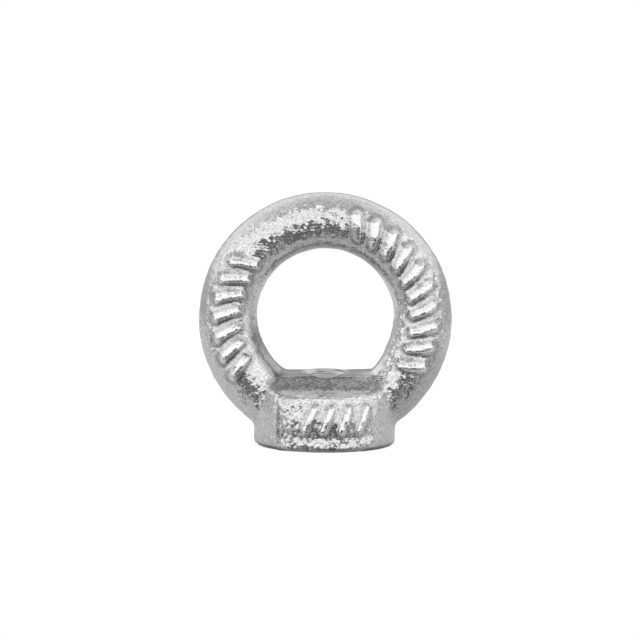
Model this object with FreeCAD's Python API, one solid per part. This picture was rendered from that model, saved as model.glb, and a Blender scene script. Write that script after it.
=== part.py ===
import FreeCAD, Part

import math
import os

from FreeCAD import Vector

# Lifting eye nut for a 6 mm metric thread: one drop-forged steel piece.
# A round boss with a tapped hole carries an upright ring that a hook or shackle goes through.
# The two die halves part on the plane Y = 0, so the front and the back are the same form.
# Frame: origin at the middle of the boss's machined foot, +Z up along the thread,
# the ring stands in the XZ plane and its front looks towards -Y. Millimetres.

# Ring
EYE_DIA = 19.5             # clear round opening, as punched
EYE_RISE = 0.4             # eye centre above the ring's own centre, so the ring thickens downwards
RING_TOP_THICKNESS = 7.85  # eye to outside at the top of the ring, as trimmed
RING_TOP_DEPTH = 8.0       # front to back at the top of the ring
RING_FOOT_DEPTH = 9.8      # front to back where the ring runs into the boss
RING_BURY = 0.6            # the ring's inner skin starts this far below the saddle, in the boss
RING_SECTIONS = 13         # ovals that the ring is lofted through
OVAL_POINTS = 16           # points that each oval is drawn through

# Boss
BOSS_DIA = 20.2            # across the foot
BOSS_DRAFT_DEG = 0.5       # side wall leans inwards so that the forging leaves the die
SADDLE_HEIGHT = 10.4       # foot to the flat floor of the eye
SADDLE_CUT = 1.75          # floor above the lowest point that the eye's full circle would have
SADDLE_FLAT_DEPTH = 5.2    # front to back of that floor, before its edges are rounded
SADDLE_EDGE_RADIUS = 3.0   # from the floor into the slope
SLOPE_END_DEPTH = 12.4     # front to back between the ends of the front and back slopes
SLOPE_DROP = 2.15          # floor down to the end of each slope
SLOPE_END_RADIUS = 2.5     # from the slope out on to the shoulder
SHOULDER_DROP = 0.9        # end of the slope down to the boss's front edge, before it is rounded
SHOULDER_RADIUS = 1.5      # from the shoulder into the side wall
FOOT_CHAMFER = 0.5         # broken edge round the machined foot
NECK_RADIUS = 2.0          # fillet where each arm of the ring runs into the boss

# Tapped hole
THREAD_MAJOR_DIA = 6.0
THREAD_PITCH = 1.0
COUNTERSINK_MARGIN = 0.8   # mouth of the 90 degree countersink at each end, wider than the thread

# Trimmed flash: narrow lands on the parting plane, left by the trimming die and the eye punch
OUTER_LAND_DEPTH = 1.8     # front to back, round the outside
EYE_LAND_DEPTH = 2.4       # front to back, round the eye
OUTER_CORNER_RADIUS = 1.2  # of the trimming die where ring and boss meet
EYE_CORNER_RADIUS = 2.0    # of the punch where eye and saddle meet
PUNCH_CLEARANCE = 0.05     # punch stops this far above the saddle

LEVEL = 1e-6               # heights closer than this are the same height

EYE_RADIUS = EYE_DIA / 2
EYE_Z = SADDLE_HEIGHT - SADDLE_CUT + EYE_RADIUS
RING_Z = EYE_Z - EYE_RISE
TOTAL_HEIGHT = EYE_Z + EYE_RADIUS + RING_TOP_THICKNESS
RING_RADIUS = TOTAL_HEIGHT - RING_Z
BOSS_RADIUS = BOSS_DIA / 2
DRAFT = math.tan(math.radians(BOSS_DRAFT_DEG))
TAP_DRILL_RADIUS = (THREAD_MAJOR_DIA - THREAD_PITCH) / 2
FAR = 2 * TOTAL_HEIGHT     # reach of tools that pass right through


def trim_for(radius, land_depth):
    """How far inside a round skin of this radius a cut must run to leave a land this deep."""
    return radius - math.sqrt(radius**2 - (land_depth / 2) ** 2)


SECTION_RADIUS = (RING_RADIUS - EYE_RADIUS) / 2
OUTER_SKIN = RING_RADIUS + trim_for(SECTION_RADIUS, OUTER_LAND_DEPTH)
EYE_SKIN = EYE_RADIUS - trim_for(SECTION_RADIUS, EYE_LAND_DEPTH)
BOSS_TRIM = trim_for(BOSS_RADIUS, OUTER_LAND_DEPTH)


def reach(centre_z, radius, direction):
    """Distance from the ring's centre, along direction, to a circle round (0, 0, centre_z)."""
    rise = RING_Z - centre_z
    along = rise * direction.z
    return -along + math.sqrt(along**2 - rise**2 + radius**2)


def oval(angle):
    """Section of the forged ring at one angle, counted from +X towards +Z."""
    out = Vector(math.cos(angle), 0, math.sin(angle))
    outer = reach(RING_Z, OUTER_SKIN, out)
    inner = reach(EYE_Z, EYE_SKIN, out)
    lower_share = (1 - math.sin(angle)) / 2
    depth = RING_TOP_DEPTH + (RING_FOOT_DEPTH - RING_TOP_DEPTH) * lower_share
    middle = Vector(0, 0, RING_Z) + out * ((outer + inner) / 2)
    turns = [2 * math.pi * i / OVAL_POINTS for i in range(OVAL_POINTS)]
    curve = Part.BSplineCurve()
    curve.interpolate(Points=[middle + out * (math.cos(t) * (outer - inner) / 2)
                              + Vector(0, math.sin(t) * depth / 2, 0) for t in turns],
                      PeriodicFlag=True)
    return Part.Wire(curve.toShape())


def ring():
    """The ring as a lofted bar, open at the bottom where its two ends are buried in the boss."""
    start = -math.asin((EYE_Z - SADDLE_HEIGHT + RING_BURY) / EYE_SKIN)
    sweep = math.pi - 2 * start
    angles = [start + sweep * i / (RING_SECTIONS - 1) for i in range(RING_SECTIONS)]
    return Part.makeLoft([oval(a) for a in angles], True, False, False)


def face(points):
    return Part.Face(Part.makePolygon(points + points[:1]))


def boss_blank():
    """The drafted round boss, as high as the ring's centre and not yet shaped on top."""
    outline = [Vector(0, 0, 0),
               Vector(BOSS_RADIUS, 0, 0),
               Vector(BOSS_RADIUS - RING_Z * DRAFT, 0, RING_Z),
               Vector(0, 0, RING_Z)]
    return face(outline).revolve(Vector(0, 0, 0), Vector(0, 0, 1), 360)


def saddle_block():
    """Bar along X with the saddle's section: a flat floor, then a slope and a shoulder on each side."""
    flat = SADDLE_FLAT_DEPTH / 2
    end = SLOPE_END_DEPTH / 2
    end_z = SADDLE_HEIGHT - SLOPE_DROP
    side = BOSS_DIA
    low = end_z - SHOULDER_DROP * (side - end) / (BOSS_RADIUS - end)
    base = low - SADDLE_HEIGHT
    half = [(side, base), (side, low), (end, end_z), (flat, SADDLE_HEIGHT)]
    outline = [Vector(-FAR, -y, z) for y, z in half] + [Vector(-FAR, y, z) for y, z in reversed(half)]
    block = face(outline).extrude(Vector(2 * FAR, 0, 0))

    def ridges(height):
        return [e for e in block.Edges
                if e.Length > FAR and abs(e.CenterOfMass.z - height) < LEVEL]

    block = block.makeFillet(SLOPE_END_RADIUS, ridges(end_z))
    return block.makeFillet(SADDLE_EDGE_RADIUS, ridges(SADDLE_HEIGHT))


def boss():
    """The boss with its saddle top, rounded shoulders and chamfered foot."""
    body = boss_blank().common(saddle_block())
    shoulder = [e for e in body.Edges
                if e.CenterOfMass.z > SADDLE_HEIGHT / 2 and not isinstance(e.Curve, Part.Line)]
    body = body.makeFillet(SHOULDER_RADIUS, shoulder)
    foot = [e for e in body.Edges if e.BoundBox.ZMax < LEVEL]
    return body.makeChamfer(FOOT_CHAMFER, foot).Solids[0]


def faces_at(body, edge):
    """The faces that share an edge."""
    return [f for f in body.Faces if any(e.isSame(edge) for e in f.Edges)]


def necks(body):
    """Edges where the ring's skin meets the boss."""
    def on_ring(skin):
        return skin.BoundBox.ZMax > RING_Z

    found = []
    for edge in body.Edges:
        sides = faces_at(body, edge)
        if len(sides) == 2 and on_ring(sides[0]) != on_ring(sides[1]):
            found.append(edge)
    return found


def cross_cylinder(radius, centre_z):
    """Round tool along Y, right through the part."""
    return Part.makeCylinder(radius, 2 * FAR, Vector(0, -FAR, centre_z), Vector(0, 1, 0))


def round_to_flat(tool):
    """Straight edges where a tool's round side meets a flat one."""
    return [e for e in tool.Edges
            if isinstance(e.Curve, Part.Line)
            and {type(f.Surface) for f in faces_at(tool, e)} == {Part.Cylinder, Part.Plane}]


def trimming_die():
    """Opening of the die that shears the outer flash off: the ring's circle and the boss's sides."""
    foot = BOSS_RADIUS - BOSS_TRIM
    top = foot - RING_Z * DRAFT
    below = foot + FAR * DRAFT
    sides = [Vector(-below, -FAR, -FAR), Vector(-top, -FAR, RING_Z),
             Vector(top, -FAR, RING_Z), Vector(below, -FAR, -FAR)]
    opening = cross_cylinder(RING_RADIUS, RING_Z).fuse(face(sides).extrude(Vector(0, 2 * FAR, 0)))
    return opening.makeFillet(OUTER_CORNER_RADIUS, round_to_flat(opening))


def eye_punch():
    """Punch that clears the eye, with a flat underside just above the saddle."""
    under = Part.makeBox(2 * FAR, 2 * FAR, FAR, Vector(-FAR, -FAR, SADDLE_HEIGHT + PUNCH_CLEARANCE - FAR))
    punch = cross_cylinder(EYE_RADIUS, EYE_Z).cut(under)
    return punch.makeFillet(EYE_CORNER_RADIUS, round_to_flat(punch))


def tapped_hole():
    """Tap drill through the boss, with a 90 degree countersink at the foot and at the saddle."""
    mouth = (THREAD_MAJOR_DIA + COUNTERSINK_MARGIN) / 2
    deep = mouth - TAP_DRILL_RADIUS
    drill = Part.makeCylinder(TAP_DRILL_RADIUS, SADDLE_HEIGHT)
    low = Part.makeCone(mouth, TAP_DRILL_RADIUS, deep)
    high = Part.makeCone(TAP_DRILL_RADIUS, mouth, deep, Vector(0, 0, SADDLE_HEIGHT - deep))
    return drill.fuse([low, high])


def eye_nut():
    """The whole forging: ring and boss blended at the necks, trimmed, punched and drilled."""
    body = boss().fuse(ring()).Solids[0]
    body = body.makeFillet(NECK_RADIUS, necks(body))
    body = body.common(trimming_die()).cut(eye_punch())
    return body.cut(tapped_hole()).Solids[0]


os.makedirs("parts", exist_ok=True)
nut = eye_nut()
nut.exportStep("parts/eye_nut.step")
print("eye_nut", nut.isValid(), "volume", round(nut.Volume, 1), "faces", len(nut.Faces))
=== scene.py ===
import math

import bmesh
import bpy
from mathutils import Matrix, Vector, noise


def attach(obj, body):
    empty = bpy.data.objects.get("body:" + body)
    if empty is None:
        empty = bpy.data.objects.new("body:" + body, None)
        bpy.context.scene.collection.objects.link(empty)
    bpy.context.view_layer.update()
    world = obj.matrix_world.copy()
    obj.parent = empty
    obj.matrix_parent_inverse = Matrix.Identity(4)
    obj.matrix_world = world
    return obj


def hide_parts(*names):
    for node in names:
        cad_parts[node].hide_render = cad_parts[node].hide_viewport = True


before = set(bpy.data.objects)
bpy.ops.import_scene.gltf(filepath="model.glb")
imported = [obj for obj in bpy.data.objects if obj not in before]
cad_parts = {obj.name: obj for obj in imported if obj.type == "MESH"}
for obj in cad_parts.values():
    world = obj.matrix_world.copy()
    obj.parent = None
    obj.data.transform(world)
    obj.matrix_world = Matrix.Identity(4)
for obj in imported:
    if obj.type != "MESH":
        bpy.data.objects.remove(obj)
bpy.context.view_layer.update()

MM = 0.001


# The forging.
# One piece of steel, hammered hot between a front and a back die, trimmed round its middle plane,
# blasted clean and zinc plated. What the dies pressed is rough and pitted, and the steep walls
# are smoother.
MERGE = 0.001 * MM                 # corners closer than this are one
VOXEL = 0.206 * MM
BORE_RADIUS = 3.3 * MM             # opened out to take the threaded wall
BORE_TOP = 12 * MM

blank = bmesh.new()
blank.from_mesh(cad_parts["eye_nut"].data)
bmesh.ops.remove_doubles(blank, verts=blank.verts, dist=MERGE)
for v in blank.verts:
    from_axis = Vector((v.co.x, v.co.y, 0))
    if from_axis.length < BORE_RADIUS and v.co.z < BORE_TOP:
        v.co += from_axis.normalized() * (BORE_RADIUS - from_axis.length)
mesh = bpy.data.meshes.new("eye_nut_blank")
blank.to_mesh(mesh)
blank.free()
forging = bpy.data.objects.new("eye_nut_forging", mesh)
bpy.context.scene.collection.objects.link(forging)
remesh = forging.modifiers.new("one_skin", "REMESH")
remesh.mode = "VOXEL"
remesh.voxel_size = VOXEL
bpy.context.view_layer.update()
skin = bpy.data.meshes.new_from_object(forging.evaluated_get(bpy.context.evaluated_depsgraph_get()))
forging.modifiers.clear()
forging.data = skin
skin.name = "eye_nut_forging"

# Rows of plain leaning bars, where the front die is sunk a little deeper.
# A bar's sides are steep, but on the ring its upper side runs out in a slope.
RING_RAISE = 0.62 * MM             # height of the bars on the ring, and on the boss
BOSS_RAISE = 0.58 * MM
FLANK = 0.10 * MM                  # a bar's foot reaches this far past its edge
CROWN = 0.38 * MM                  # and its top starts this far inside
RUN_UP = 0.85 * MM                 # the slope ends this far past the edge
RUN_UP_ENDS = 0.6 * MM             # and fades out over this length past the bar's ends
BAR_SHADOW_LINE = 0.28 * MM                # a line of painted shadow, which is also rougher, runs round a bar this far from its edge
BAR_SHADOW_FADE = (0.36 * MM, 0.12 * MM)      # distance from that line where it is gone, and where it is full
BOSS_BAR_SHADOW = 0.6                 # the painted shadow line is weaker on the boss
BAR_RADIUS = 0.62 * MM
BAR_HALF_LENGTH = 1.70 * MM        # without the round ends
BAR_LEAN = math.radians(22)
BAR_REACH = 3.2 * MM               # a bar with its slope ends within this length along the row
RING_CENTRE_Z = 18.4 * MM
RING_MID_RADIUS = 14.0 * MM
LEFT_ROW = (146, 210, 7)           # first angle, last angle, count
RIGHT_ROW = (71, -29, 10)
BOSS_ROW = (-2.2 * MM, 5.6 * MM, 4)        # first x, last x, count
BOSS_ROW_Z = 4.6 * MM
BOSS_TOP = 8.0 * MM


def spread(first, last, count):
    """Places at even steps from first to last."""
    return [first + (last - first) * i / (count - 1) for i in range(count)]


def fade(start, end, value):
    """Goes softly from 0 at start to 1 at end, which may be the lower one."""
    share = max(0.0, min(1.0, (value - start) / (end - start)))
    return share * share * (3 - 2 * share)


def bar_shares(along, across, upper):
    """Shares of a bar's height and of the painted shadow line round it, this far along and across the row
    from its middle.

    The side with the slope lies along the row where upper is 1, and against it where upper is -1.
    With 0 there is no slope.
    """
    beside = along * math.cos(BAR_LEAN) - across * math.sin(BAR_LEAN)
    past_end = abs(across * math.cos(BAR_LEAN) + along * math.sin(BAR_LEAN)) - BAR_HALF_LENGTH
    edge = math.hypot(beside, max(0.0, past_end)) - BAR_RADIUS
    slope = max(0.0, min(1.0, (RUN_UP - edge) / (RUN_UP + CROWN)))
    slope *= fade(0, BAR_RADIUS, beside * upper) * fade(RUN_UP_ENDS, 0, past_end)
    return max(fade(FLANK, -CROWN, edge), slope), fade(*BAR_SHADOW_FADE, abs(edge - BAR_SHADOW_LINE))


ring_bars = [math.radians(degrees) for row in (LEFT_ROW, RIGHT_ROW) for degrees in spread(*row)]
boss_bars = spread(*BOSS_ROW)


def relief(point):
    """Height of the bars over the bare front at a point, and share of the painted shadow line round them.
    """
    if point.y > 0:
        return 0.0, 0.0
    if point.z < BOSS_TOP:
        height, strength = BOSS_RAISE, BOSS_BAR_SHADOW
        shares = [bar_shares(point.x - x, point.z - BOSS_ROW_Z, 0) for x in boss_bars]
    else:
        height, strength = RING_RAISE, 1.0
        radius = math.hypot(point.x, point.z - RING_CENTRE_Z)
        angle = math.atan2(point.z - RING_CENTRE_Z, point.x)
        turns = [math.remainder(angle - bar, 2 * math.pi) * RING_MID_RADIUS for bar in ring_bars]
        shares = [bar_shares(turn, radius - RING_MID_RADIUS, math.copysign(1, point.x))
                  for turn in turns if abs(turn) < BAR_REACH]
    return (height * max((share for share, _ in shares), default=0.0),
            strength * max((bar_shadow for _, bar_shadow in shares), default=0.0))


# Patches of the skin.
# A patch is a list of borders, and at each one it fades in from the first value to the second.
# The borders are in millimetres, in degrees round the eye from its right, or in how far the skin
# faces a way, where 1 is fully.
RING = [("z", 8, 9.5)]
RING_FACE = [("outwards", 0.80, 0.68), ("front", 0.05, 0.30)]
LOWER_RIGHT = [("x", 4, 8), ("z", 24, 20)]
BOSS_FACE = [("front", 0.735, 0.765)]
SHOULDER = [("depth", 5.6, 6.4), ("z", 7.0, 7.4)]
BAR_GROUND = [("front", 0.3, 0.6)]
# the eye's right inner wall, which gets a painted highlight
RIGHT_WALL_SHEEN = [("eye", 1.5, 0.8), ("x", 4, 7), ("z", 25, 22), ("z", 9, 11), ("y", 0, -1)]
SADDLE = [("ragged_z", 7.5, 8.0), ("aside", 9.0, 7.5), ("z", 11.5, 10.8), ("up", 0.70, 0.82)]
RIDGE = SADDLE + [("z", 10.0, 10.2)]
ARCH = [("eye", 1.2, 0.4), ("z", 24, 26)]
LEFT_NECK = [("x", -3.5, -6), ("z", 18, 15), ("eye", 2.0, 1.0), ("z", 0.40, 0.65)]
# painted shade: the ring's lower right outer rim is darkened, and made rougher
RIGHT_RIM_SHADE = [("eye", 5.4, 6.4), ("turn", -8, -25), ("turn", -62, -50)]
# painted shadow along the foot's lower edge where it meets the board; it is also rougher there
FOOT_EDGE_SHADE = [("z", 0.65, 0.40)]
SEAM_LINE = [("off_seam", 0.35, 0.15), ("y", -5, -6), ("z", 6.6, 6.0), ("z", 0.8, 1.6)]
SEAM_LEDGE = [("seam", -0.25, -0.05), ("x", -3.5, -5.5), ("z", 7.2, 6.2), ("y", -5, -6)]
BITTEN_CORNER = [("turn", -22, -50), ("turn", -66, -56), ("eye", 3, 0.8)]
FOOT_BAND = [("z", 0.3, 0.8), ("z", 2.0, 1.3)]
LEFT_PART = [("x", -2.0, -3.5), ("z", 7.6, 6.8), ("z", 0.3, 0.8)]

# Patches that are darker and rougher, with how strongly. On the foot edge and the lower right rim the
# darkness is painted shade; the saddle, its ridge, the arch, the left neck and the seam line are simply
# darker and rougher.
DULL_AND_SHADED_PATCHES = [(0.53, SADDLE), (1.0, RIDGE), (0.53, ARCH), (0.64, LEFT_NECK), (0.4, RIGHT_RIM_SHADE),
                (1.0, FOOT_EDGE_SHADE), (0.8, SEAM_LINE)]
BAR_SHADOW_DARKNESS = 0.50            # darkness of the painted shadow line round a bar, which is also rougher there
BAR_TOP_SHEEN = (0.3, 0.9)              # a bar's top is lighter, rubbed and with a painted highlight, from the first share of its height to the second
WALL_PAINTED_SHEEN = 0.75             # the eye's right wall gets a painted highlight
BAR_SMOOTHNESS = 0.5               # a bar's top is this much less pitted
INNER_BORDER = -0.52               # the ring's pitted face ends in the eye where it faces this far outwards
INNER_REACH = 0.40                 # and it goes this much further round on the lower right
INNER_FADE = 0.08
WANDER = 0.4 * MM                  # a ragged border wanders by this
WANDER_SIZE = 0.8 * MM
SEAM_X = -6.5 * MM                 # left edge of the boss's pitted face
SEAM_WANDER = 0.4                  # share of the wander that it has
EYE_CENTRE_Z = 18.4 * MM
EYE_RADIUS = 9.75 * MM


def measured(point, normal, wander):
    """What the borders of the patches are counted in, at a point of the skin."""
    rise = point.z - EYE_CENTRE_Z
    from_centre = math.hypot(point.x, rise)
    seam = (point.x + SEAM_WANDER * wander - SEAM_X) / MM
    return {
        "x": point.x / MM, "y": point.y / MM, "z": point.z / MM,
        "aside": abs(point.x) / MM, "depth": abs(point.y) / MM, "ragged_z": (point.z + wander) / MM,
        "seam": seam, "off_seam": abs(seam),
        "eye": (from_centre - EYE_RADIUS) / MM, "turn": math.degrees(math.atan2(rise, point.x)),
        "front": abs(normal.y), "up": normal.z,
        "outwards": (normal.x * point.x + normal.z * rise) / from_centre,
    }


def share_of(patch, at):
    """Share from 0 to 1 that a patch has of the skin at a measured point."""
    share = 1.0
    for measure, start, end in patch:
        share *= fade(start, end, at[measure])
    return share


def pressed_share(at):
    """Share of skin that the dies pressed. The rest slid along them and stayed smoother."""
    inner = INNER_BORDER - INNER_REACH * share_of(LOWER_RIGHT, at)
    on_ring = share_of(RING, at)
    ring = fade(inner, inner + INNER_FADE, at["outwards"]) * share_of(RING_FACE, at)
    boss = max(share_of(BOSS_FACE, at), share_of(SHOULDER, at))
    return ring * on_ring + boss * (1 - on_ring)


# The shape of this one forging, where it strays from its pattern.
SEAT = 0.06 * MM                   # the machined foot is flat to this height
FOOT_FACING = -0.9                 # where its skin faces further down than this
FOOT_BLEND = 0.6 * MM              # lumps grow to their full height over this much above it
SADDLE_Z = 10.4 * MM
BOSS_RADIUS = 10.1 * MM
BITE = 0.50 * MM                   # the punch sat a little low on the right, and took this much more there
LEAN_FROM = 4.2 * MM               # the boss's front leans back above this height
LEAN_BLEND = 0.8 * MM              # height over which it starts to lean
LEAN = 0.42                        # how far it leans back for each millimetre of height
LEAN_DEPTH = 5 * MM                # only what is further than this from the middle plane leans
LEAN_RIGHT_END = (8.5 * MM, 5.5 * MM)
LEAN_LEFT_END = (-5.5 * MM, -2.5 * MM)
LEAN_LEFT_SHARE = 0.2              # share of the lean that is left there
WAIST_Z = 2.0 * MM                 # a shallow waist runs round the boss here
WAIST_HEIGHT = 1.3 * MM
WAIST = 0.14 * MM
SEAM_HEIGHT = 0.16 * MM            # the boss's pitted face stands this much proud along its left edge
CRUMPLE_SIZE = 0.45 * MM
FOOT_CRUMPLE = 0.13 * MM           # the skin is most crumpled in a band above the foot
LEFT_CRUMPLE = 1.5                 # and this many times more on the boss's left part
BOSS_CRUMPLE = 0.06 * MM
RING_CRUMPLE = 0.025 * MM
LUMP_SIZE = 1.1 * MM
LUMP_HEIGHT = 0.05 * MM
LUMP_PRESSED = 0.9                 # lumps are this much higher on pressed skin
LUMP_SADDLE = 0.8                  # and this much lower on the saddle
SWELL_SIZE = 6.0 * MM
SWELL_HEIGHT = 0.10 * MM


def bite_corner(point, at):
    """Moves the eye's lower right corner outwards, but not below the saddle."""
    bite = BITE * share_of(BITTEN_CORNER, at)
    turn = math.radians(at["turn"])
    point.x += bite * math.cos(turn)
    point.z = max(point.z + bite * math.sin(turn), min(point.z, SADDLE_Z))


def lean_back(point, boss_face):
    """Leans the boss's front back towards its top edge, and gives it its waist."""
    if point.z < SADDLE_Z and abs(point.y) > LEAN_DEPTH:
        above = max(0.0, point.z - LEAN_FROM)
        lean = LEAN * above**2 / (above + LEAN_BLEND) * fade(*LEAN_RIGHT_END, point.x)
        lean *= LEAN_LEFT_SHARE + (1 - LEAN_LEFT_SHARE) * fade(*LEAN_LEFT_END, point.x)
        waist = WAIST * fade(WAIST_HEIGHT, 0, abs(point.z - WAIST_Z)) * boss_face
        share = min(1.0, (BOSS_RADIUS - lean) / math.hypot(point.x, point.y)) - waist / BOSS_RADIUS
        point.x *= share
        point.y *= share


def crumple_height(at, on_ring):
    """How high the pressed skin is crumpled at a measured point."""
    band = max(share_of(FOOT_BAND, at), LEFT_CRUMPLE * share_of(LEFT_PART, at))
    elsewhere = RING_CRUMPLE * on_ring + BOSS_CRUMPLE * (1 - on_ring)
    return FOOT_CRUMPLE * band + elsewhere * max(0.0, 1 - band)


bm = bmesh.new()
bm.from_mesh(skin)
for _ in range(2):
    bmesh.ops.smooth_vert(bm, verts=bm.verts, factor=0.5, use_axis_x=True, use_axis_y=True, use_axis_z=True)
bm.normal_update()
die_face = bm.verts.layers.float.new("die_face")
dull_and_painted_shade = bm.verts.layers.float.new("dull_and_painted_shade")
rubbed_and_painted_sheen = bm.verts.layers.float.new("rubbed_and_painted_sheen")
for v in bm.verts:
    wander = noise.noise(v.co / WANDER_SIZE) * WANDER
    at = measured(v.co, v.normal, wander)
    on_ring = share_of(RING, at)
    on_saddle = share_of(SADDLE, at)
    boss_face = share_of(BOSS_FACE, at)
    bar, bar_shadow = (value * share_of(BAR_GROUND, at) for value in relief(v.co))
    v[die_face] = pressed_share(at) * (1 - BAR_SMOOTHNESS * bar / RING_RAISE)
    # darker and rougher patches, with painted shade round the bars, on the foot edge and on the lower right
    # rim
    v[dull_and_painted_shade] = max(BAR_SHADOW_DARKNESS * bar_shadow,
                  *(dull_and_shade_share * share_of(patch, at) for dull_and_shade_share, patch in DULL_AND_SHADED_PATCHES))
    # bar tops lighter, rubbed and with a painted highlight; the eye's right wall gets a painted highlight
    v[rubbed_and_painted_sheen] = max(fade(*BAR_TOP_SHEEN, bar / RING_RAISE), WALL_PAINTED_SHEEN * share_of(RIGHT_WALL_SHEEN, at))
    from_foot = max(0.0, min(1.0, (v.co.z - SEAT) / FOOT_BLEND))

    bite_corner(v.co, at)
    lean_back(v.co, boss_face)
    at = measured(v.co, v.normal, wander)
    crumple = noise.noise(v.co / CRUMPLE_SIZE) * crumple_height(at, on_ring) * v[die_face]
    v.co += v.normal * (SEAM_HEIGHT * share_of(SEAM_LEDGE, at) + crumple)
    lump = noise.noise(v.co / LUMP_SIZE) * LUMP_HEIGHT
    lump *= (1 + LUMP_PRESSED * v[die_face]) * (1 - LUMP_SADDLE * on_saddle)
    swell = noise.noise(v.co / SWELL_SIZE) * SWELL_HEIGHT
    v.co += v.normal * (lump + swell) * from_foot - Vector((0, bar, 0))
    if v.co.z < 0 or v.co.z < SEAT and v.normal.z < FOOT_FACING:
        v.co.z = 0.0
bm.to_mesh(skin)
bm.free()
for polygon in skin.polygons:
    polygon.use_smooth = True

# The plated skin: small flat dents that lie every way, over a fine grain, with painted shade in the dents
# and in some patches, and lighter bar tops and a painted highlight on the eye's right wall.
# A scale counts patterns in a metre, and a stop of a ramp is a place on it and the grey there.
PITS = 2400
PIT_DEPTH = 0.10 * MM
SCATTER = 0.30 * MM                # how far the pits are shaken out of their pattern
FACET_SLOPE = 1.1                  # how steeply a pit's flat bottom may lie
BOWL = 0.3                         # how hollow it is
GRAINS = 3800
GRAIN_HEIGHT = 0.32                # height of the grain beside a pit's depth
COARSE_GRAINS = 900
BLOTCHES = 260
BLOTCH_RAMP = [(0.35, 0.55), (0.60, 1.0)]  # the pressed skin is more pitted here and less there
LEAST_PITTED = 0.45                # share of the pits' depth where no die pressed
MORE_PITTED = 0.85                 # and how much more there is where one did
PIT_SHADE_RAMP = [(0.12, 0.84), (0.42, 1.0)]   # painted shade in each pit: tone from a pit's middle, where it is darkest, to its edge
GRAIN_RAMP = [(0.32, 0.54), (0.62, 0.83)]
GLOSS_RAMP = [(0.35, 0.05), (0.65, 0.14)]
DULL_AND_SHADE_TONE = 0.36                   # share of the tone that is left where it is darkest; this darkening is painted shade at the foot edge, on the lower right rim and round the bars
DULL_ROUGHNESS = 0.15
DULL_FLATNESS = 0.8                # share of the pits' depth that is lost there
# tone of the lighter bar tops and of the painted highlight on the eye's right wall
RUBBED_AND_PAINTED_SHEEN_TONE = 0.86


def new_material(name):
    """A material with nothing in it but its shader, and the lists of its nodes and links."""
    material = bpy.data.materials.new(name)
    material.use_nodes = True
    return material, material.node_tree.nodes, material.node_tree.links


def grey(tone):
    return (tone, tone, tone, 1)


def feed(sockets, values):
    """Gives each socket its value, which is a number, a vector, a colour or the socket of another node."""
    for socket, value in zip(sockets, values):
        if isinstance(value, bpy.types.NodeSocket):
            links.new(value, socket)
        else:
            socket.default_value = value


def noise_node(scale, detail=2.0):
    """A noise pattern on Object coordinates."""
    node = nodes.new("ShaderNodeTexNoise")
    feed([node.inputs["Vector"], node.inputs["Scale"], node.inputs["Detail"]], [place, scale, detail])
    return node


def ramp(source, stops):
    node = nodes.new("ShaderNodeValToRGB")
    elements = node.color_ramp.elements
    while len(elements) < len(stops):
        elements.new(0.5)
    for element, (position, tone) in zip(elements, stops):
        element.position = position
        element.color = grey(tone)
    links.new(source, node.inputs["Fac"])
    return node.outputs["Color"]


def maths(operation, *values):
    node = nodes.new("ShaderNodeMath")
    node.operation = operation
    feed(node.inputs, values)
    return node.outputs["Value"]


def vector_maths(operation, *values):
    node = nodes.new("ShaderNodeVectorMath")
    node.operation = operation
    feed(node.inputs, values)
    return node.outputs["Value" if operation == "DOT_PRODUCT" else "Vector"]


def mixed(share, first, second, blend="MIX"):
    node = nodes.new("ShaderNodeMix")
    node.data_type = "RGBA"
    node.blend_type = blend
    feed([node.inputs[0], node.inputs["A"], node.inputs["B"]], [share, first, second])
    return node.outputs["Result"]


def kept_on_mesh(name):
    """One of the shares that the mesh's points carry."""
    node = nodes.new("ShaderNodeAttribute")
    node.attribute_name = name
    return node.outputs["Fac"]


zinc, nodes, links = new_material("zinc_over_forged_skin")
shader = nodes["Principled BSDF"]
place = nodes.new("ShaderNodeTexCoord").outputs["Object"]
grain = noise_node(GRAINS).outputs["Fac"]
coarse = noise_node(COARSE_GRAINS)
shaken = vector_maths("MULTIPLY_ADD", coarse.outputs["Color"], (SCATTER, SCATTER, SCATTER), place)
pit = nodes.new("ShaderNodeTexVoronoi")
pit.inputs["Scale"].default_value = PITS
links.new(shaken, pit.inputs["Vector"])
from_middle = vector_maths("SUBTRACT", shaken, pit.outputs["Position"])
tilt = vector_maths("SUBTRACT", pit.outputs["Color"], (0.5, 0.5, 0.5))
facet = maths("MULTIPLY", vector_maths("DOT_PRODUCT", from_middle, tilt), PITS * FACET_SLOPE)
bowl = maths("MULTIPLY", pit.outputs["Distance"], pit.outputs["Distance"])
dented = maths("MULTIPLY_ADD", bowl, BOWL, facet)
blotchy = ramp(noise_node(BLOTCHES, 1.0).outputs["Fac"], BLOTCH_RAMP)
pressed = maths("MULTIPLY", kept_on_mesh("die_face"), blotchy)
pitted = maths("MULTIPLY_ADD", pressed, MORE_PITTED, LEAST_PITTED)
surface = maths("ADD", maths("MULTIPLY", dented, pitted), maths("MULTIPLY", grain, GRAIN_HEIGHT))
dull_and_shade_share = kept_on_mesh("dull_and_painted_shade")
flatness = maths("MULTIPLY", dull_and_shade_share, DULL_FLATNESS)
bump = nodes.new("ShaderNodeBump")
bump.inputs["Distance"].default_value = PIT_DEPTH
links.new(maths("SUBTRACT", 1.0, flatness), bump.inputs["Strength"])
links.new(surface, bump.inputs["Height"])
# the random grain tone, multiplied by painted shade that darkens each pit towards its middle
grain_and_pit_shade = mixed(pitted, ramp(grain, GRAIN_RAMP), ramp(pit.outputs["Distance"], PIT_SHADE_RAMP), "MULTIPLY")
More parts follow.
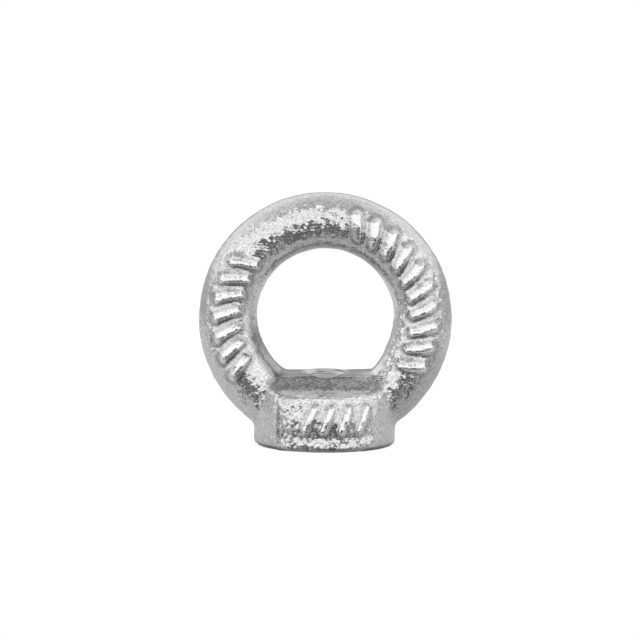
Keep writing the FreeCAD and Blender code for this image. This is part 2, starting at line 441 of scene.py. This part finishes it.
# painted shade at the foot edge, on the lower right rim and round the bars, and darker patches elsewhere:
# the tone is multiplied down by this share
shaded = mixed(dull_and_shade_share, grain_and_pit_shade, grey(DULL_AND_SHADE_TONE), "MULTIPLY")
roughness = maths("MULTIPLY_ADD", dull_and_shade_share, DULL_ROUGHNESS, ramp(coarse.outputs["Fac"], GLOSS_RAMP))
shader.inputs["Metallic"].default_value = 1.0
# the bar tops are lightened, rubbed and with a painted highlight, and the eye's right wall gets a painted
# highlight
links.new(mixed(kept_on_mesh("rubbed_and_painted_sheen"), shaded, grey(RUBBED_AND_PAINTED_SHEEN_TONE)), shader.inputs["Base Color"])
links.new(roughness, shader.inputs["Roughness"])
links.new(bump.outputs["Normal"], shader.inputs["Normal"])
skin.materials.clear()
skin.materials.append(zinc)

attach(forging, "root")
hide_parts("eye_nut")


# The thread.
# A 6 mm right-hand thread, tapped through the boss after forging, with a countersink at each end.
# Its wall is a ring of its own here, set into the opened bore.
MAJOR_RADIUS = 3.0 * MM
MINOR_RADIUS = 2.5 * MM
PITCH = 1.0 * MM
FLANK_RISE = 1.35                  # a flank would rise this many groove depths over half a pitch
CREST_FLAT = 0.2                   # this much of it is cut off flat at the crest, and the rest at the root
WALL_RADIUS = 3.6 * MM
FOOT_MOUTH_RADIUS = 3.4 * MM
SADDLE_MOUTH_RADIUS = 3.1 * MM
END = 0.1 * MM                     # the wall stops this far inside each face
RINGS = 160
AROUND = 72
CUT_TONE = 0.62
CHATTER = 1800                     # tool marks in a metre
CHATTER_RAMP = [(0.35, 0.12), (0.65, 0.26)]

thread = bmesh.new()
low, high = END, SADDLE_Z - END
profile = [thread.verts.new((WALL_RADIUS, 0, low))]
profile += [thread.verts.new((MINOR_RADIUS, 0, low + (high - low) * i / RINGS)) for i in range(RINGS + 1)]
profile.append(thread.verts.new((WALL_RADIUS, 0, high)))
edges = [thread.edges.new((a, b)) for a, b in zip(profile, profile[1:] + profile[:1])]
bmesh.ops.spin(thread, geom=profile + edges, cent=(0, 0, 0), axis=(0, 0, 1), angle=2 * math.pi,
               steps=AROUND, use_merge=True, use_duplicate=False, dvec=(0, 0, 0))
bmesh.ops.remove_doubles(thread, verts=thread.verts, dist=MERGE)
bmesh.ops.recalc_face_normals(thread, faces=thread.faces)
for v in thread.verts:
    radius = math.hypot(v.co.x, v.co.y)
    if radius < (MINOR_RADIUS + WALL_RADIUS) / 2:
        turn = (v.co.z / PITCH - math.atan2(v.co.y, v.co.x) / (2 * math.pi)) % 1.0
        depth = min(1.0, max(0.0, abs(2 * turn - 1) * FLANK_RISE - CREST_FLAT))
        groove = MINOR_RADIUS + (MAJOR_RADIUS - MINOR_RADIUS) * depth
        mouth = max(FOOT_MOUTH_RADIUS - v.co.z, SADDLE_MOUTH_RADIUS - (SADDLE_Z - v.co.z))
        wanted = max(groove, mouth)
        v.co.x *= wanted / radius
        v.co.y *= wanted / radius
thread_mesh = bpy.data.meshes.new("tapped_thread")
thread.to_mesh(thread_mesh)
thread.free()
for polygon in thread_mesh.polygons:
    polygon.use_smooth = True
thread_wall = bpy.data.objects.new("tapped_thread", thread_mesh)
bpy.context.scene.collection.objects.link(thread_wall)
cut_steel, nodes, links = new_material("zinc_over_cut_thread")
shader = nodes["Principled BSDF"]
shader.inputs["Metallic"].default_value = 1.0
shader.inputs["Base Color"].default_value = grey(CUT_TONE)
place = nodes.new("ShaderNodeTexCoord").outputs["Object"]
links.new(ramp(noise_node(CHATTER).outputs["Fac"], CHATTER_RAMP), shader.inputs["Roughness"])
thread_mesh.materials.append(cut_steel)
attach(thread_wall, "root")


# The table.
# A plain white board that the nut stands on, close to the board's front edge.
# The camera and the metal see it whiter than the light that it throws on the nut.
BOARD_TOP = -0.02 * MM             # a hair under the foot
BOARD_FRONT = 8 * MM
BOARD_BACK = 130 * MM
BOARD_SIDE = 110 * MM
PAPER_TONE = 0.62
PAPER_ROUGHNESS = 0.9
LIFT_SEEN = 0.66                   # light added where the camera sees it
LIFT_MIRRORED = 0.12               # and where the nut mirrors it

board = bmesh.new()
bmesh.ops.create_grid(board, x_segments=1, y_segments=1, size=1)
bmesh.ops.scale(board, verts=board.verts, vec=(BOARD_SIDE, (BOARD_BACK + BOARD_FRONT) / 2, 1))
bmesh.ops.translate(board, verts=board.verts, vec=(0, (BOARD_BACK - BOARD_FRONT) / 2, BOARD_TOP))
board_mesh = bpy.data.meshes.new("table")
board.to_mesh(board_mesh)
board.free()
table = bpy.data.objects.new("table", board_mesh)
bpy.context.scene.collection.objects.link(table)
paper, nodes, links = new_material("white_paper")
shader = nodes["Principled BSDF"]
shader.inputs["Base Color"].default_value = grey(PAPER_TONE)
shader.inputs["Roughness"].default_value = PAPER_ROUGHNESS
shader.inputs["Specular IOR Level"].default_value = 0.0
shader.inputs["Emission Color"].default_value = (1, 1, 1, 1)
rays = nodes.new("ShaderNodeLightPath").outputs
mirrored = maths("ADD", rays["Is Glossy Ray"], rays["Is Transmission Ray"])
lift = maths("MULTIPLY_ADD", mirrored, LIFT_MIRRORED, maths("MULTIPLY", rays["Is Camera Ray"], LIFT_SEEN))
links.new(lift, shader.inputs["Emission Strength"])
board_mesh.materials.append(paper)


# The light tent.
# A white cloth tent stands round the object, with a darker front where the camera looks in.
# The camera looks through its cloth, and the metal and the board see it.
TENT_RADIUS = 800 * MM
BRIGHTEST = 1.3                    # no part of the cloth is brighter, and 1 is white
# Each part of the cloth is a list of elevations in degrees and how bright it is there.
FRONT = [(-90, 0.52), (-62, 0.48), (-54, 0.16), (-8, 0.16), (2, 1.15), (46, 1.22), (57, 0.52), (90, 0.58)]
QUARTER = [(-90, 0.55), (-50, 0.55), (-12, 0.45), (0, 1.0), (20, 1.28), (40, 1.25), (52, 0.70), (90, 0.60)]
BACK = [(-90, 0.70), (-45, 0.70), (-25, 0.62), (-5, 0.50), (10, 0.50), (20, 0.93), (42, 1.0), (65, 0.80),
        (90, 0.65)]
FRONT_TO_QUARTER = (25, 55)        # degrees from the front, between which one part becomes the next
QUARTER_TO_BACK = (83, 93)

tent_shape = bmesh.new()
bmesh.ops.create_icosphere(tent_shape, subdivisions=5, radius=TENT_RADIUS)
tent_mesh = bpy.data.meshes.new("tent")
tent_shape.to_mesh(tent_mesh)
tent_shape.free()
tent = bpy.data.objects.new("tent", tent_mesh)
tent.visible_camera = False
tent.visible_shadow = False
bpy.context.scene.collection.objects.link(tent)
cloth, nodes, links = new_material("tent_cloth")
nodes.remove(nodes["Principled BSDF"])
place = nodes.new("ShaderNodeTexCoord").outputs["Object"]


def share_along(vector, part):
    """How far a vector points along an axis, from 0 where it points against it to 1."""
    split = nodes.new("ShaderNodeSeparateXYZ")
    links.new(vector_maths("NORMALIZE", vector), split.inputs[0])
    return maths("MULTIPLY_ADD", split.outputs[part], 0.5, 0.5)


height = share_along(place, "Z")
backness = share_along(vector_maths("MULTIPLY", place, (1, 1, 0)), "Y")


def levels(stops):
    """The brightness of one part of the cloth."""
    return ramp(height, [((math.sin(math.radians(degrees)) + 1) / 2, level / BRIGHTEST)
                         for degrees, level in stops])


def turned(first, last, bearings):
    """The first part of the cloth, which becomes the last one between two bearings."""
    places = [(1 - math.cos(math.radians(degrees))) / 2 for degrees in bearings]
    return mixed(ramp(backness, list(zip(places, (0.0, 1.0)))), first, last)


front_half = turned(levels(FRONT), levels(QUARTER), FRONT_TO_QUARTER)
glow = nodes.new("ShaderNodeEmission")
glow.inputs["Strength"].default_value = BRIGHTEST
links.new(turned(front_half, levels(BACK), QUARTER_TO_BACK), glow.inputs["Color"])
links.new(glow.outputs[0], nodes["Material Output"].inputs["Surface"])
cloth.cycles.emission_sampling = "NONE"
tent_mesh.materials.append(cloth)

world = bpy.context.scene.world or bpy.data.worlds.new("studio")
bpy.context.scene.world = world
world.use_nodes = True
world.node_tree.nodes["Background"].inputs["Color"].default_value = (1, 1, 1, 1)
world.node_tree.nodes["Background"].inputs["Strength"].default_value = 1.0


# The camera.
# It stands straight in front of the nut and looks down on it a little, from over a metre away.
CAMERA_DISTANCE = 1200 * MM
LOOK_DOWN = math.radians(7.5)
ROLL = math.radians(0.35)
FRAME_WIDTH = 91.2 * MM            # width of the picture at the nut
RING_MIDDLE = Vector((0, 0, 18 * MM))
TO_THE_RIGHT = 0.77 * MM           # the nut stands this far right of the middle of the picture
UPWARD = 0.28 * MM                 # and this far above it

view = Vector((0, math.cos(LOOK_DOWN), -math.sin(LOOK_DOWN)))
upright = Vector((0, math.sin(LOOK_DOWN), math.cos(LOOK_DOWN)))
target = RING_MIDDLE - upright * UPWARD - Vector((TO_THE_RIGHT, 0, 0))
camera_data = bpy.data.cameras.new("camera")
camera_data.sensor_width = 36.0
camera_data.lens = camera_data.sensor_width * CAMERA_DISTANCE / FRAME_WIDTH
camera_data.clip_start = 10 * MM
camera = bpy.data.objects.new("camera", camera_data)
camera.location = target - view * CAMERA_DISTANCE
level = view.to_track_quat("-Z", "Y").to_matrix()
camera.rotation_euler = (level @ Matrix.Rotation(ROLL, 3, "Z")).to_euler()
bpy.context.scene.collection.objects.link(camera)
bpy.context.scene.camera = camera
bpy.context.scene.view_settings.view_transform = "Standard"
